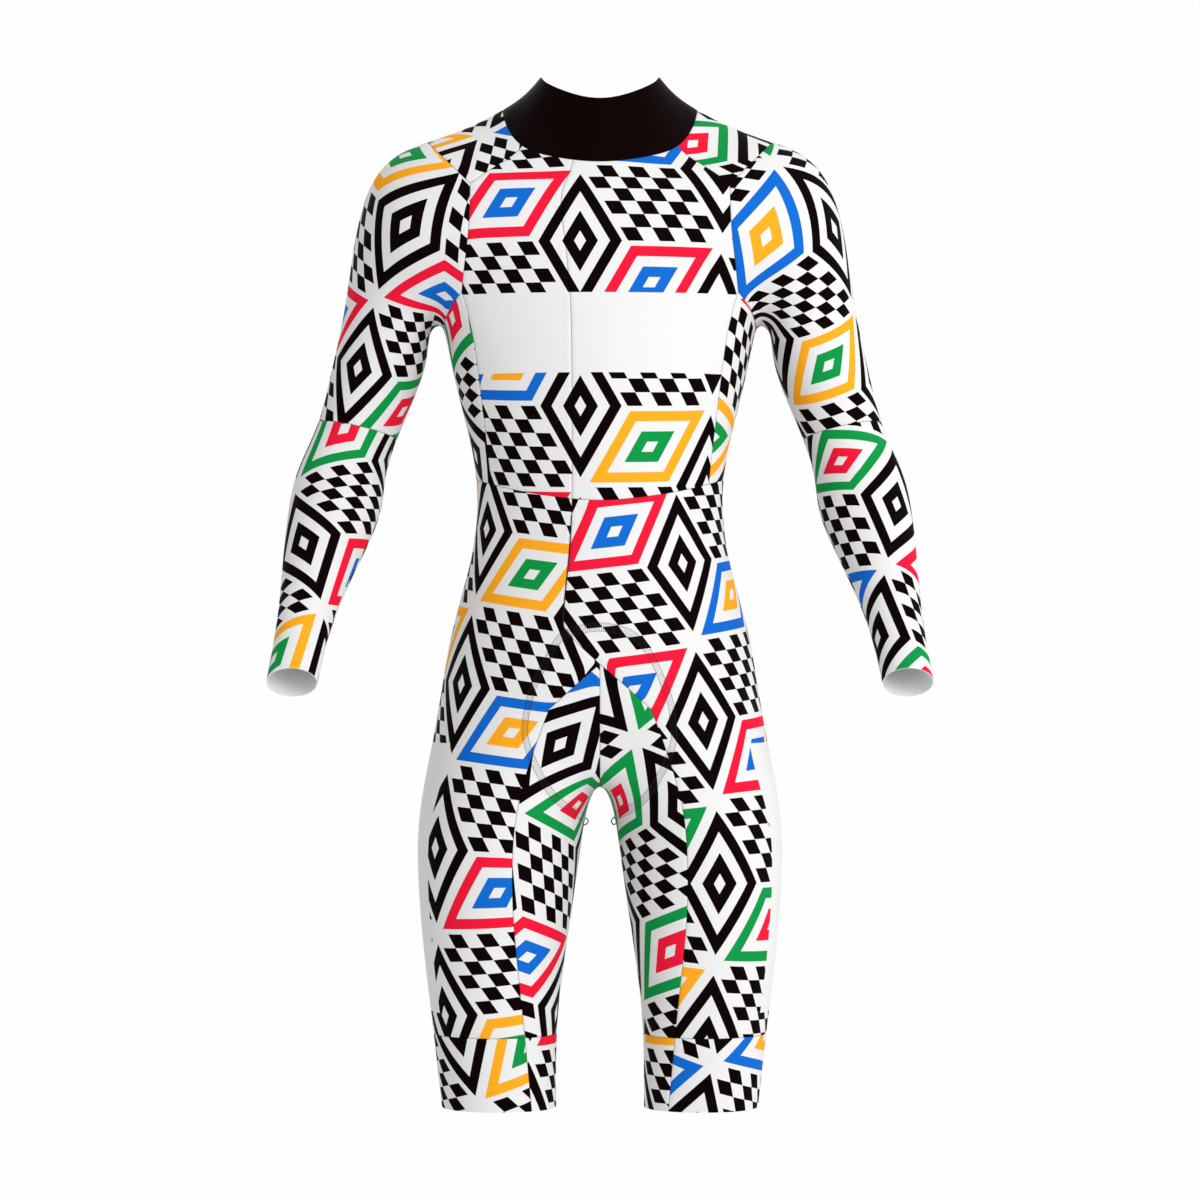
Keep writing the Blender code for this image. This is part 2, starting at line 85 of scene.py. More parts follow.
# The pieces as they are sewn
COLLAR = ("collar",)
FRONTS = ("front_left", "front_right")
BODY_PANELS = (*FRONTS, "back", "side_left", "side_right", "yoke_left", "yoke_right")
SLEEVES = ("sleeve_upper_left", "sleeve_upper_right", "sleeve_lower_left", "sleeve_lower_right")
LEGS = ("leg_left", "leg_right")
INNER_LEGS = ("inner_leg_left", "inner_leg_right")
BANDS = ("band_outer_left", "band_outer_right", "band_inner_left", "band_inner_right")
KNIT = (*COLLAR, *BODY_PANELS, *SLEEVES, *LEGS, *INNER_LEGS, *BANDS)
KNIT_END = "_knit"
SKIN = "skin"

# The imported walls: an edge shorter than this crosses the wall's rim
RIM_EDGE = 0.002
SKIN_MERGE = 0.001
ROUNDING = 2
LEG_MIDDLE_X = 0.108

# A tube is cut along edges that climb at least this much of their length
LENGTHWISE = 0.6

# Sewn edges: the narrow strip beside them, how finely nearness is measured, and how far it counts
SEAM_STRIP = 0.0018
SEAM_STEPS = 5
SEAM_REACH = 0.02

# The knit's relief: one wale across and one course up
WALE = 0.0009
COURSE = 0.0007

# Tubes are cut open for unwrapping along the run of edges through a place on them
OPEN_TUBES = (
    ("collar", (0.0, 0.069, 0.015)),
    ("sleeve_upper_left", (0.183, 0.012, -0.262)),
    ("sleeve_upper_right", (-0.183, 0.012, -0.262)),
    ("sleeve_lower_left", (0.246, -0.040, -0.455)),
    ("sleeve_lower_right", (-0.246, -0.040, -0.455)),
)

# Where each flat piece's middle lies on the printed roll, and how far it is turned there
RollPlace = namedtuple("RollPlace", "x y turn")
ROLL_PLACES = {node: RollPlace(*spot) for node, spot in {
    "front_left": (0.020, 0.010, 0.0),
    "back": (0.420, 0.030, 0.0),
    "side_left": (0.705, 0.115, 20.0),
    "side_right": (0.860, 0.160, -20.0),
    "yoke_left": (1.010, 0.250, 35.0),
    "yoke_right": (1.130, 0.190, -25.0),
    "sleeve_upper_left": (0.180, 0.760, -15.0),
    "sleeve_upper_right": (0.640, 0.735, 10.0),
    "sleeve_lower_left": (1.060, 0.800, 15.0),
    "sleeve_lower_right": (1.420, 0.770, -20.0),
    "leg_left": (0.250, 1.480, 0.0),
    "leg_right": (0.805, 1.530, 0.0),
    "inner_leg_left": (1.300, 1.430, -10.0),
    "inner_leg_right": (1.610, 1.520, 10.0),
    "band_outer_left": (0.240, 2.100, 8.0),
    "band_outer_right": (0.655, 2.140, -8.0),
    "band_inner_left": (1.010, 2.075, 0.0),
    "band_inner_right": (1.230, 2.160, 0.0),
}.items()}

# Soft creases pressed into the skin, in mm: start, end, half width and depth, minus for a trough
Crease = namedtuple("Crease", "start end half_width depth")
CREASES = [Crease(*row) for row in (
    ((158, -70, -196), (86, -124, -150), 9, -1.1),
    ((160, -62, -210), (98, -112, -212), 8, 0.8),
    ((-158, -68, -197), (-94, -122, -160), 10, -0.9),
    ((-160, -58, -212), (-104, -108, -224), 8, 0.7),
    ((158, 72, -198), (88, 112, -146), 10, -1.1),
    ((-158, 72, -198), (-96, 110, -158), 9, -1.2),
    ((186, -40, -226), (248, -48, -180), 9, -1.2),
    ((190, -30, -252), (256, -40, -222), 10, 0.9),
    ((-186, -40, -226), (-244, -50, -172), 9, -1.1),
    ((-190, -30, -250), (-252, -44, -212), 10, 0.8),
    ((188, 52, -226), (240, 66, -188), 10, -1.2),
    ((-188, 52, -226), (-246, 64, -196), 9, -1),
    ((228, -16, -384), (292, -38, -366), 8, -1.7),
    ((226, -22, -404), (300, -44, -392), 8, 1),
    ((222, -8, -356), (280, -30, -340), 9, -1),
    ((-228, -16, -382), (-288, -38, -372), 8, -1.5),
    ((-226, -24, -408), (-302, -46, -390), 9, 1.1),
    ((-224, -8, -352), (-276, -30, -346), 8, -1.1),
    ((122, -50, -452), (60, -104, -462), 12, -0.9),
    ((-120, -50, -436), (-52, -106, -448), 12, -0.8),
    ((-85, 80, -420), (70, 88, -408), 12, -1.2),
    ((-60, 92, -446), (90, 82, -440), 12, 0.8),
    ((14, -92, -658), (118, -100, -612), 10, -1.1),
    ((-14, -92, -660), (-104, -102, -606), 11, -1),
    ((30, -70, -712), (128, -96, -690), 11, -0.9),
    ((-30, -70, -708), (-120, -98, -696), 10, -1),
    ((30, 106, -712), (150, 104, -722), 13, -2),
    ((-32, 106, -714), (-146, 106, -718), 13, -1.8),
)]

# The pad's stitched ladder, as the camera sees it at the body's middle: from the small loop at one
# leg over the top to the loop at the other. Behind, half of its outline, from the crotch up.
LADDER_FRONT = (
    (-0.0131, -0.7392), (-0.0225, -0.7312), (-0.0359, -0.7232), (-0.0493, -0.7112),
    (-0.0600, -0.6951), (-0.0714, -0.6720), (-0.0783, -0.6510), (-0.0783, -0.6331),
    (-0.0760, -0.6195), (-0.0714, -0.6013), (-0.0646, -0.5854), (-0.0556, -0.5691),
    (-0.0476, -0.5534), (-0.0378, -0.5434), (-0.0210, -0.5371), (-0.0010, -0.5344),
    (0.0158, -0.5365), (0.0299, -0.5407), (0.0413, -0.5486), (0.0514, -0.5614),
    (0.0607, -0.5786), (0.0675, -0.5967), (0.0743, -0.6150), (0.0766, -0.6331),
    (0.0777, -0.6514), (0.0714, -0.6730), (0.0606, -0.6951), (0.0539, -0.7058),
    (0.0418, -0.7192), (0.0283, -0.7272), (0.0176, -0.7326), (0.0136, -0.7392),
)
LADDER_BACK = (
    (0.0150, -0.7330), (0.0400, -0.7150), (0.0620, -0.6860), (0.0710, -0.6500),
    (0.0670, -0.6080), (0.0530, -0.5710), (0.0290, -0.5430), (0.0000, -0.5370),
)
# At each end of the front ladder a loose loop of thread hangs in the fork, from low to high
LOOSE_LOOPS = (
    (0, ((-0.0152, -0.7420), (-0.0123, -0.7380), (-0.0158, -0.7345))),
    (-1, ((0.0142, -0.7420), (0.0119, -0.7380), (0.0152, -0.7340))),
)
LADDER_WIDTH = 0.0060
LADDER_TOP_WIDER = 0.0028
RUNG_STEP = 0.0022
THREAD = 0.00017
LOOSE_THREAD = 0.00068

# The pad's outline as seen from the front, half of it, and how thick its foam is
PAD_OUTLINE = (
    (0.000, -0.535), (0.030, -0.538), (0.056, -0.568), (0.070, -0.605),
    (0.076, -0.645), (0.066, -0.688), (0.034, -0.722), (0.000, -0.737),
)
PAD_DEPTH = 0.0011
PAD_EDGE = 0.0008
PAD_MIDDLE = 0.0048
PAD_FEATHER = 0.022

# The concealed zip: where it ends, how wide half its tape is, how deep it lies and its teeth's step
ZIP_FOOT_Z = -0.525
TAPE_HALF_WIDTH = 0.009
TAPE_DEPTH = 0.0013
TAPE_THICK = 0.0005
TOOTH_STEP = 0.0014
TOOTH = (0.0022, 0.0009, 0.0008)
TOOTH_BEVEL = 0.0002
TOOTH_SHIFT = 0.0005

# Below the waist the black edge of the zip shows as a thin line: between two heights
ZIP_EDGE = (-0.547, -0.418)
ZIP_EDGE_HALF = 0.0006

# The camera looks level along +Y, at the photograph's height
CAMERA_DISTANCE = 4.5
CAMERA_HEIGHT = -0.5061
VIEW_WIDTH = 1.26
SENSOR = 36.0

# The way to the bright side of the room, the suit's left and a little down, and how far along that
# way the room's light goes from its weakest to its full strength
LIT_WAY = (0.85, 0.0, -0.53)
LIT_FROM, LIT_TO = -0.95, -0.20

# The lamps: place, turn in degrees, size, and the setting that holds their power
Lamp = namedtuple("Lamp", "name place turn size setting")
LAMPS = (
    Lamp("key_light", (2.2, -3.0, 0.9), (66.0, 0.0, 36.0), 2.4, "key"),
    Lamp("back_light", (-1.6, 3.2, 1.2), (-62.0, 0.0, 26.0), 2.6, "fill"),
)

# The bare bands of the print: across the chest between two heights, and down each outer leg
CHEST_BARE = (-0.2734, -0.1917)
LEG_BARE = (-0.935, -0.655)
LEG_BARE_MIDDLE = 0.004
LEG_BARE_HALF = 0.052
OUTER_LEG = 0.11

# Rings and checks in each lozenge of the print
RINGS = 4.0
CHECKS = 6.0

# Which chance draw gives the coloured lozenges their hues
PRINT_DRAW = 11.0

# A flat piece's size as it is cut: width, length and area. The worn knit is stretched about 12%
# past its cut in width and 3% in length.
Cut = namedtuple("Cut", "width length area")


def only(*objects):
    """Selects these objects alone, or none, and makes the first of them active."""
    if bpy.context.object and bpy.context.object.mode != "OBJECT":
        bpy.ops.object.mode_set(mode="OBJECT")
    bpy.ops.object.select_all(action="DESELECT")
    for obj in objects:
        obj.select_set(True)
    bpy.context.view_layer.objects.active = objects[0] if objects else None


def edit_all(piece):
    """Opens a piece in edit mode with everything selected."""
    only(piece)
    bpy.ops.object.mode_set(mode="EDIT")
    bpy.ops.mesh.select_mode(type="VERT")
    bpy.ops.mesh.select_all(action="SELECT")


def close_edit():
    bpy.ops.object.mode_set(mode="OBJECT")
    return bpy.context.object


@contextmanager
def reworked(mesh):
    """Opens a mesh for work in code, and writes it back."""
    work = bmesh.new()
    work.from_mesh(mesh)
    yield work
    work.to_mesh(mesh)
    work.free()


def call(piece, name):
    piece.name = name
    piece.data.name = name
    return piece


def shade_smooth(piece, angle):
    only(piece)
    bpy.ops.object.shade_smooth_by_angle(angle=math.radians(angle))


def heading(run, number):
    """The way that a run of places goes at one of them."""
    return (run[min(number + 1, len(run) - 1)] - run[max(number - 1, 0)]).normalized()


def turned(angle):
    """The matrix that turns flat places by an angle."""
    return np.array(((math.cos(angle), -math.sin(angle)), (math.sin(angle), math.cos(angle))))


def apply_modifiers(piece):
    only(piece)
    for name in [modifier.name for modifier in piece.modifiers]:
        bpy.ops.object.modifier_apply(modifier=name)


def sewn_name(node):
    return node + KNIT_END


def side_of(name):
    return -1.0 if name.endswith("_right") else 1.0


def free_copy(node):
    """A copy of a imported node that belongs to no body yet, with its loose triangles merged."""
    only(frame["nodes"][node])
    bpy.ops.object.duplicate()
    piece = bpy.context.object
    bpy.ops.object.parent_clear(type="CLEAR_KEEP_TRANSFORM")
    for key in [key for key in piece.keys() if key.startswith("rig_")]:
        del piece[key]
    piece.data.materials.clear()
    edit_all(piece)
    bpy.ops.mesh.remove_doubles(threshold=0.00002)
    return close_edit()


def limb_middle(node, place, centre):
    """A point inside the limb or trunk that a panel wraps, level with a place on it."""
    if node in SLEEVES:
        return centre
    if node in LEGS + INNER_LEGS + BANDS:
        return Vector((side_of(node) * LEG_MIDDLE_X, 0.0, place.z))
    return Vector((0.0, 0.0, place.z))


def face_runs(work):
    """The faces of a mesh in runs that hang together."""
    unseen = set(work.faces)
    runs = []
    while unseen:
        run = [unseen.pop()]
        for face in run:
            for edge in face.edges:
                for other in edge.link_faces:
                    if other in unseen:
                        unseen.discard(other)
                        run.append(other)
        runs.append(run)
    return runs


def keep_outside(piece, node):
    """Leaves only the outer face of a wall: its rim goes first, then the run that faces inwards."""
    with reworked(piece.data) as work:
        rim = [
            face for face in work.faces if min(edge.calc_length() for edge in face.edges) < RIM_EDGE
        ]
        bmesh.ops.delete(work, geom=rim, context="FACES")
        work.normal_update()
        centre = sum((vert.co for vert in work.verts), Vector()) / len(work.verts)

        def outward(run):
            total = 0.0
            for face in run:
                middle = face.calc_center_median()
                out = (middle - limb_middle(node, middle, centre)).normalized()
                total += face.calc_area() * face.normal.dot(out)
            return total

        runs = sorted(face_runs(work), key=outward)
        inside = [face for run in runs[:-1] for face in run]
        bmesh.ops.delete(work, geom=inside, context="FACES")


def sewn_skin():
    """The outsides of all the knit panels as one sheet of quads, a material slot for each."""
    pieces = []
    for node in KNIT:
        piece = free_copy(node)
        keep_outside(piece, node)
        piece.data.materials.append(bpy.data.materials.new("cut_" + node))
        pieces.append(piece)
    only(*pieces)
    bpy.ops.object.join()
    skin = call(bpy.context.object, SKIN)
    edit_all(skin)
    bpy.ops.mesh.remove_doubles(threshold=SKIN_MERGE)
    bpy.ops.mesh.tris_convert_to_quads(
        face_threshold=math.pi,
        shape_threshold=math.pi,
        topology_influence=1.0,
        materials=True,
    )
    bpy.ops.mesh.faces_shade_smooth()
    return close_edit()


def node_of(skin, face):
    return skin.data.materials[face.material_index].name.removeprefix("cut_")


def mark_cuts(skin):
    """Marks where the flat pieces part: sharp at every sewn edge, and a seam where print ends."""
    with reworked(skin.data) as work:
        for edge in work.edges:
            nodes = {node_of(skin, face) for face in edge.link_faces}
            edge.smooth = len(nodes) == 1
            edge.seam = len(nodes) > 1 and not nodes <= set(FRONTS)
    for node, place in OPEN_TUBES:
        mark_tube(skin, node, Vector(place))


def mark_tube(skin, node, place):
    """Marks a seam along a tube: the loop of edges through the lengthwise edge nearest a place."""
    only(skin)
    bpy.ops.object.mode_set(mode="EDIT")
    bpy.ops.mesh.select_mode(type="EDGE")
    bpy.ops.mesh.select_all(action="DESELECT")
    work = bmesh.from_edit_mesh(skin.data)
    near = []
    for edge in work.edges:
        if all(node_of(skin, face) == node for face in edge.link_faces):
            ends = [vert.co for vert in edge.verts]
            steep = abs(ends[0].z - ends[1].z) / edge.calc_length()
            middle = 0.5 * (ends[0] + ends[1])
            if steep > LENGTHWISE:
                near.append(((middle - place).length, edge))
    min(near, key=lambda each: each[0])[1].select_set(True)
    bmesh.update_edit_mesh(skin.data)
    bpy.ops.mesh.loop_multi_select(ring=False)
    work = bmesh.from_edit_mesh(skin.data)
    for edge in work.edges:
        if edge.select and all(node_of(skin, face) == node for face in edge.link_faces):
            edge.seam = True
    bmesh.update_edit_mesh(skin.data)
    close_edit()


def lay_on_roll(skin):
    """Unwraps the skin, then lays each flat piece true to size and upright on the printed roll."""
    edit_all(skin)
    bpy.ops.uv.unwrap(method="ANGLE_BASED", margin=0.002)
    close_edit()
    skin.data.uv_layers.active.name = PRINT_MAP
    with reworked(skin.data) as work:
        uv = work.loops.layers.uv[PRINT_MAP]
        groups = {}
        for face in work.faces:
            node = node_of(skin, face)
            groups.setdefault(FRONTS[0] if node in FRONTS else node, []).append(face)
        for node, faces in sorted(groups.items()):
            lay_piece(uv, node, faces)


def lay_piece(uv, node, faces):
    """Lays one flat piece at its place on the roll."""
    flat_area = 0.0
    slope = np.zeros(2)
    for face in faces:
        flat = [loop[uv].uv for loop in face.loops]
        for second in range(1, len(flat) - 1):
            a, b = flat[second] - flat[0], flat[second + 1] - flat[0]
            flat_area += 0.5 * (a.x * b.y - a.y * b.x)
            rise_a = face.loops[second].vert.co.z - face.loops[0].vert.co.z
            rise_b = face.loops[second + 1].vert.co.z - face.loops[0].vert.co.z
            slope += 0.5 * np.array((rise_a * b.y - rise_b * a.y, rise_b * a.x - rise_a * b.x))
    if flat_area < 0.0:
        raise RuntimeError(node + " is unwrapped inside out")
    scale = math.sqrt(sum(face.calc_area() for face in faces) / flat_area)
    loops = [loop for face in faces for loop in face.loops]
    places = np.array([tuple(loop[uv].uv) for loop in loops]) * scale
    places = places @ turned(math.atan2(slope[0], slope[1])).T
    places -= 0.5 * (places.min(axis=0) + places.max(axis=0))
    spot = ROLL_PLACES.get(node, RollPlace(0.0, 0.0, 0.0))
    places = places @ turned(math.radians(spot.turn)).T + np.array((spot.x, spot.y))
    for loop, place in zip(loops, places):
        loop[uv].uv = place


def round_out(skin):
    """Rounds the facets as the knit does when it is stretched over a body."""
    rounding = skin.modifiers.new("rounding", "SUBSURF")
    rounding.levels = ROUNDING
    rounding.render_levels = ROUNDING
    apply_modifiers(skin)


def press_creases(skin):
    """Moves the skin in and out along its normals for each soft crease."""
    mesh = skin.data
    count = len(mesh.vertices)
    places = np.empty(count * 3)
    normals = np.empty(count * 3)
    mesh.vertices.foreach_get("co", places)
    mesh.vertex_normals.foreach_get("vector", normals)
    places = places.reshape(-1, 3)
    normals = normals.reshape(-1, 3)
    move = np.zeros(count)
    for crease in CREASES:
        start, end = 0.001 * np.array(crease.start), 0.001 * np.array(crease.end)
        along = end - start
        share = np.clip((places - start) @ along / (along @ along), 0.0, 1.0)
        gap = np.linalg.norm(places - (start + share[:, None] * along), axis=1)
        reach = 0.001 * crease.half_width
        fade = np.exp(-((gap / reach) ** 2)) * np.sqrt(np.sin(math.pi * share))
        facing = normals @ (0.5 * (start + end) - np.array((0.0, 0.0, 0.5 * (start + end)[2])))
        move += 0.001 * crease.depth * fade * (facing > 0.0)
    places += normals * move[:, None]
    mesh.vertices.foreach_set("co", places.ravel())
    mesh.update()


def part_skin(skin):
    """Parts the skin into its sewn pieces again, one object each."""
    edit_all(skin)
    bpy.ops.mesh.separate(type="MATERIAL")
    close_edit()
    for piece in [obj for obj in bpy.context.selected_objects if obj.type == "MESH"]:
        used = {polygon.material_index for polygon in piece.data.polygons}
        node = piece.data.materials[used.pop()].name.removeprefix("cut_")
        call(piece, sewn_name(node)).data.materials.clear()


def sewn_edges(work):
    """The open edges of a sheet that are sewn to a neighbour. The rest are cuffs, hems and rim."""
    return [edge for edge in work.edges if len(edge.link_faces) == 1 and not edge.smooth]


def roll_seams(piece, depth):
    """Turns a sheet's sewn edges in a little, and stores how far each point lies from a seam."""
    edit_all(piece)
    bpy.ops.mesh.select_mode(type="FACE")
    bpy.ops.mesh.select_all(action="SELECT")
    bpy.ops.mesh.inset(thickness=SEAM_STRIP, depth=0.0, use_boundary=True, use_even_offset=True)
    close_edit()
    with reworked(piece.data) as work:
        layer = work.verts.layers.float.new(SEAM_LAYER)
        work.normal_update()
        edges = sewn_edges(work)
        tree = KDTree(SEAM_STEPS * len(edges))
        sewn = set()
        for number, edge in enumerate(edges):
            first, second = (vert.co for vert in edge.verts)
            sewn.update(edge.verts)
            for part in range(SEAM_STEPS):
                tree.insert(first.lerp(second, part / SEAM_STEPS), SEAM_STEPS * number + part)
        tree.balance()
        for vert in work.verts:
            gap = tree.find(vert.co)[2] if edges else SEAM_REACH
            vert[layer] = 0.0 if vert in sewn else min(SEAM_REACH, gap)
        for vert in sewn:
            vert.co -= vert.normal * depth
        for edge in work.edges:
            edge.smooth = True


def give_wall(piece, thickness):
    """Gives a sheet its thickness, inwards, with the second material on its back and cut edge."""
    wall = piece.modifiers.new("wall", "SOLIDIFY")
    wall.thickness = thickness
    wall.offset = -1.0
    wall.use_even_offset = True
    wall.material_offset = 1
    wall.material_offset_rim = 1
    apply_modifiers(piece)
    shade_smooth(piece, 50.0)


def finish_sheet(node, face, back, thickness):
    """Finishes one sewn piece: its rolled seams, its wall, its cloth and its place in the suit."""
    piece = bpy.data.objects[sewn_name(node)]
    piece.data.materials.append(face)
    piece.data.materials.append(back)
    roll_seams(piece, bpy.context.scene.suit_knit.seam_roll)
    give_wall(piece, thickness)
    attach(piece, BODY)
    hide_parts(node)
    return piece


class Board:
    """A material's nodes, with short calls for the ones used most."""

    def __init__(self, name):
        self.material = bpy.data.materials.new(name)
        self.material.use_nodes = True
        self.tree = self.material.node_tree
        self.shader = self.tree.nodes["Principled BSDF"]

    def node(self, kind, **settings):
        made = self.tree.nodes.new(kind)
        for key, value in settings.items():
            setattr(made, key, value)
        return made

    def feed(self, socket, value):
        if isinstance(value, bpy.types.NodeSocket):
            self.tree.links.new(value, socket)
        else:
            socket.default_value = value

    def math(self, operation, *values):
        made = self.node("ShaderNodeMath", operation=operation)
        for socket, value in zip(made.inputs, values):
            self.feed(socket, value)
        return made.outputs[0]

    times = partialmethod(math, "MULTIPLY")
    plus = partialmethod(math, "ADD")
    minus = partialmethod(math, "SUBTRACT")
    over = partialmethod(math, "DIVIDE")
    near = partialmethod(math, "COMPARE")

    def mix(self, share, first, second):
        made = self.node("ShaderNodeMix", data_type="RGBA")
        self.feed(made.inputs[0], share)
        self.feed(made.inputs[6], first)
        self.feed(made.inputs[7], second)
        return made.outputs[2]

    def noise(self, place, scale, detail=2.0):
        made = self.node("ShaderNodeTexNoise")
        self.feed(made.inputs["Vector"], place)
        made.inputs["Scale"].default_value = scale
        made.inputs["Detail"].default_value = detail
        return made.outputs["Fac"]

    def bump(self, height, strength, distance, under=None):
        made = self.node("ShaderNodeBump")
        made.inputs["Strength"].default_value = strength
        made.inputs["Distance"].default_value = distance
        self.feed(made.inputs["Height"], height)
        if under is not None:
            self.feed(made.inputs["Normal"], under)
        return made.outputs["Normal"]

    def print_place(self):
        return self.node("ShaderNodeUVMap", uv_map=PRINT_MAP).outputs["UV"]

    def object_place(self):
        return self.node("ShaderNodeTexCoord").outputs["Object"]

    def parts(self, vector):
        made = self.node("ShaderNodeSeparateXYZ")
        self.feed(made.inputs[0], vector)
        return made.outputs

    def between(self, value, low, high):
        """1 where a value lies between two limits."""
        return self.near(value, 0.5 * (low + high), 0.5 * (high - low))

    def spread(self, value, start, end, low=0.0, high=1.0):
        """Goes from start to end as a value goes from low to high."""
        made = self.node("ShaderNodeMapRange")
        self.feed(made.inputs[0], value)
        set_range(made, low, high, start, end)
        return made.outputs[0]

    def lit(self, cloth, strength):
        """A colour made lighter or darker."""
        made = self.node("ShaderNodeHueSaturation")
        self.feed(made.inputs["Value"], strength)
        self.feed(made.inputs["Color"], cloth)
        return made.outputs[0]

    def uneven(self, share, middle, spread):
        """A value that strays round its middle as share goes from 0 to 1."""
        return self.plus(self.times(share, spread), middle - 0.5 * spread)

    def base(self, share, first, second):
        """Sets the base colour, from the first to the second."""
        self.feed(self.shader.inputs["Base Color"], self.mix(share, colour(first), colour(second)))

    def finish(self, roughness, sheen=0.0, sheen_roughness=0.5, gloss=0.015):
        self.feed(self.shader.inputs["Roughness"], roughness)
        self.shader.inputs["Specular IOR Level"].default_value = gloss
        self.shader.inputs["Sheen Weight"].default_value = sheen
        self.shader.inputs["Sheen Roughness"].default_value = sheen_roughness
        return self.material


def colour(value):
    return (*value, 1.0)


def set_range(node, low, high, start, end):
    """The limits of a Map Range node."""
    for name, limit in zip(("From Min", "From Max", "To Min", "To Max"), (low, high, start, end)):
        node.inputs[name].default_value = limit


def lighter(hue, times):
    return tuple(min(1.0, times * part) for part in hue)


def knit_relief(board, place, seams):
    """The normal of fine warp knit, with a shallow groove and a soft ridge along each seam."""
    across, up, _ = board.parts(place)
    wale = board.math("SINE", board.times(across, 2.0 * math.pi / WALE))
    course = board.math("SINE", board.times(up, 2.0 * math.pi / COURSE))
    loops = board.times(wale, course)
    fuzz = board.times(board.noise(place, 2600.0), 0.8)
    cloth = board.bump(board.plus(loops, fuzz), 0.22, 0.00012)
    if not seams:
        return cloth
    gap = board.node("ShaderNodeAttribute", attribute_name=SEAM_LAYER).outputs["Fac"]
    groove = board.math("SMOOTH_MIN", board.over(gap, 0.0016), 1.0, 0.4)
    fold = board.over(board.minus(gap, 0.0042), 0.0018)
    ridge = board.math("EXPONENT", board.times(board.times(fold, fold), -1.0))
    height = board.plus(groove, board.times(ridge, 0.35))
    return board.bump(height, 0.6, 0.0005, cloth)


def painted_seam_shade(board, cloth):
    """Painted shade: darkens the cloth's colour where it turns into a seam, standing in for the
    shade in the seam's groove.
    """
    gap = board.node("ShaderNodeAttribute", attribute_name=SEAM_LAYER).outputs["Fac"]
    return board.lit(cloth, board.spread(gap, 0.35, 1.0, 0.0001, 0.0006))


def pick(board, values, number):
    """The value whose place in a list of three is the number."""
    parts = []
    for place, value in enumerate(values):
        here = board.near(number, float(place), 0.5)
        parts.append(board.times(value, here))
    return board.plus(board.plus(parts[0], parts[1]), parts[2])


def lozenges(board, place, tile):
    """Lozenge tiles laid in three directions, like tumbling blocks. Returns which direction a
    point's tile has (0, 1 or 2), the tile's two numbers, and the point's two places within it."""
    x, y, _ = board.parts(place)
    slant = board.times(x, math.sqrt(0.75))
    drop = board.times(y, 0.5)
    rows = [
        board.over(y, tile),
        board.over(board.minus(slant, drop), tile),
        board.over(board.plus(slant, drop), -tile),
    ]
    cells = [board.math("FLOOR", row) for row in rows]
    total = board.plus(board.plus(cells[0], cells[1]), cells[2])
    upward = board.near(total, -1.0, 0.5)
    kind = board.math("FLOORED_MODULO", board.minus(cells[0], cells[1]), 3.0)
    above = board.times(upward, board.minus(2.0, kind))
    downward = board.minus(1.0, upward)
    below = board.times(downward, board.minus(kind, 1.0))
    way = board.math("FLOORED_MODULO", board.plus(above, below), 3.0)
    found = []
    for step in (1.0, 2.0):
        turn = board.math("FLOORED_MODULO", board.plus(way, step), 3.0)
        cell = pick(board, cells, turn)
        found.append((cell, board.minus(pick(board, rows, turn), cell)))
    (cell_one, in_one), (cell_two, in_two) = found
    return way, (cell_one, cell_two), (in_one, in_two)


def hue_ramp(board, share, hues):
    """Steps through a list of colours as share goes from 0 to 1."""
    ramp = board.node("ShaderNodeValToRGB")
    ramp.color_ramp.interpolation = "CONSTANT"
    stops = ramp.color_ramp.elements
    stops[1].position = 1.0 / len(hues)
    while len(stops) < len(hues):
        stops.new(len(stops) / len(hues))
    for stop, hue in zip(stops, hues):
        stop.color = colour(hue)
    board.feed(ramp.inputs[0], share)
    return ramp.outputs[0]


def block_print(board, place, shades):
    """The generic print, as (ink colour, inked or not). One direction of lozenges holds small
    checks, one holds nested black lozenges, and one holds nested coloured ones."""
    way, cells, inside = lozenges(board, place, shades.tile)
    rims = [board.math("MINIMUM", each, board.minus(1.0, each)) for each in inside]
    rings = board.times(board.math("MINIMUM", *rims), RINGS)
    ringed = board.near(board.math("FRACT", rings), 0.5, 0.25)
    steps = [board.math("FLOOR", board.times(each, CHECKS)) for each in inside]
    checked = board.math("FLOORED_MODULO", board.plus(*steps), 2.0)
    checks = board.near(way, 1.0, 0.5)
    inked = board.plus(
        board.times(checks, checked), board.times(board.minus(1.0, checks), ringed)
    )
    spot = board.node("ShaderNodeCombineXYZ")
    for socket, value in zip(spot.inputs, (*cells, board.plus(way, PRINT_DRAW))):
        board.feed(socket, value)
    chance = board.node("ShaderNodeTexWhiteNoise", noise_dimensions="3D")
    board.feed(chance.inputs[0], spot.outputs[0])
    draw = board.times(chance.outputs[0], 4.0)
    turn = board.plus(board.math("FLOOR", draw), board.math("FLOOR", rings))
    share = board.over(board.plus(board.math("FLOORED_MODULO", turn, 4.0), 0.5), 4.0)
    hues = hue_ramp(board, share, (shades.blue, shades.orange, shades.green, shades.red))
    coloured = board.near(way, 2.0, 0.5)
    return board.mix(coloured, colour(shades.black), hues), inked


def chest_bare(board):
    height = board.parts(board.object_place())[2]
    return board.between(height, *CHEST_BARE)


def leg_bare(board):
    side, forward, height = board.parts(board.object_place())
    outer = board.math("GREATER_THAN", board.math("ABSOLUTE", side), OUTER_LEG)
    strip = board.near(forward, LEG_BARE_MIDDLE, LEG_BARE_HALF)
    tall = board.between(height, *LEG_BARE)
    return board.times(board.times(outer, strip), tall)


